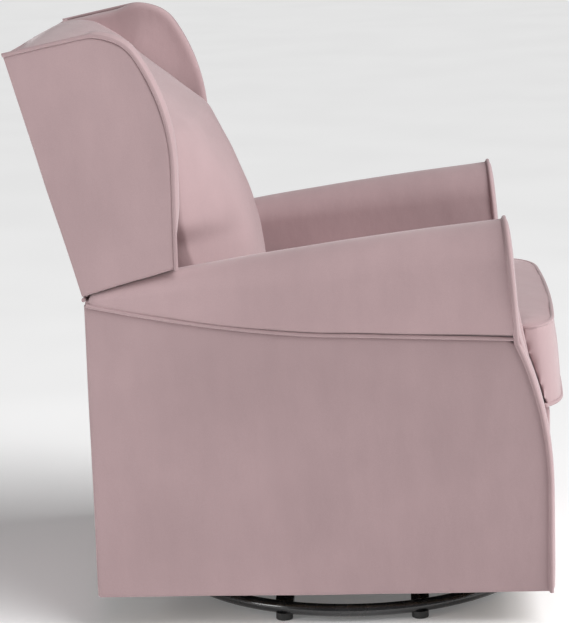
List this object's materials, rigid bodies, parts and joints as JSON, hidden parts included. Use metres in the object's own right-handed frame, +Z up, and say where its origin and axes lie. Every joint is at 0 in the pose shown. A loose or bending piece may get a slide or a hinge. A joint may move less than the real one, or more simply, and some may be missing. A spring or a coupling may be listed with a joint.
{
  "type": "glider nursery chair",
  "caption": "Upholstered swivel glider armchair with wings, rolled arms, a loose T-shaped seat cushion and a round tube base ring.",
  "frame": {"origin": "on the floor, on the swivel axis", "axes": "+Z up along the swivel axis, -Y towards the front of the seat, +X towards the sitter's left"},
  "size_m": [0.77, 0.8734, 0.9708],
  "materials": {
    "pink_velvet": "matte",
    "black_cloth": "matte",
    "black_steel": "gloss",
    "zinc_steel": "satin",
    "black_nylon": "satin",
    "stop_rubber": "matte",
    "frame_wood": "matte"
  },
  "bodies": {
    "floor_base": {"base_ring": "black_steel", "base_crossbars": "black_steel", "floor_glides": "black_nylon", "swivel_lower_plate": "zinc_steel", "base_bolts": "zinc_steel", "ball_cage": "zinc_steel", "bearing_balls": "zinc_steel", "swivel_pin": "zinc_steel", "swivel_nut": "zinc_steel"},
    "swivel_frame": {"swivel_upper_plate": "zinc_steel", "swivel_channels": "black_steel", "swivel_bolts": "zinc_steel", "stanchion_left": "black_steel", "stanchion_right": "black_steel", "upper_pivot_pins": "zinc_steel", "bump_stops": "stop_rubber"},
    "front_links": {"front_link_left": "black_steel", "front_link_right": "black_steel", "front_link_bushes": "black_nylon"},
    "rear_links": {"rear_link_left": "black_steel", "rear_link_right": "black_steel", "rear_link_bushes": "black_nylon"},
    "seat": {"arm_board_left": "frame_wood", "arm_board_right": "frame_wood", "arm_facing_left": "pink_velvet", "arm_facing_right": "pink_velvet", "back_bottom_rail": "frame_wood", "back_post_left": "frame_wood", "back_post_right": "frame_wood", "back_sockets": "zinc_steel", "back_tongues": "zinc_steel", "back_top_rail": "frame_wood", "back_webbing": "black_cloth", "carrier_rails": "black_steel", "corner_blocks": "frame_wood", "dust_cover": "black_cloth", "front_board": "frame_wood", "front_border": "pink_velvet", "glide_carrier_left": "black_steel", "glide_carrier_right": "black_steel", "inside_arm_pad_left": "pink_velvet", "inside_arm_pad_right": "pink_velvet", "inside_back_pad": "pink_velvet", "lower_back_panel": "pink_velvet", "lower_pivot_pins": "zinc_steel", "mechanism_bolts": "zinc_steel", "outside_arm_panel_left": "pink_velvet", "outside_arm_panel_right": "pink_velvet", "outside_back_panel": "pink_velvet", "outside_wing_panel_left": "pink_velvet", "outside_wing_panel_right": "pink_velvet", "rear_rail": "frame_wood", "seat_deck": "pink_velvet", "seat_springs": "zinc_steel", "side_rails": "frame_wood", "wing_board_left": "frame_wood", "wing_board_right": "frame_wood", "wing_pad_left": "pink_velvet", "wing_pad_right": "pink_velvet"},
    "seat_cushion": {"seat_cushion": "pink_velvet"}
  },
  "joints": [
    {"name": "swivel", "type": "hinge", "parent": "floor_base", "child": "swivel_frame", "pos_m": [0, 0, 0.03], "axis": [0, 0, 1], "continuous": true},
    {"name": "glide", "type": "hinge", "parent": "swivel_frame", "child": "front_links", "pos_m": [0, -0.085, 0.16], "axis": [1, 0, 0], "range_deg": [-24, 24]},
    {"name": "rear_link_swing", "type": "hinge", "parent": "swivel_frame", "child": "rear_links", "pos_m": [0, 0.085, 0.16], "axis": [1, 0, 0], "range_deg": [-24, 24]},
    {"name": "seat_level", "type": "hinge", "parent": "front_links", "child": "seat", "pos_m": [0, -0.085, 0.06], "axis": [1, 0, 0], "range_deg": [-24, 24]},
    {"name": "cushion_lift", "type": "slide", "parent": "seat", "child": "seat_cushion", "axis": [0, 0, 1], "range_m": [0, 0.12]}
  ],
  "couplings": [
    {"joint": "rear_link_swing", "follows": "glide", "ratio": 1},
    {"joint": "seat_level", "follows": "glide", "ratio": -1}
  ]
}
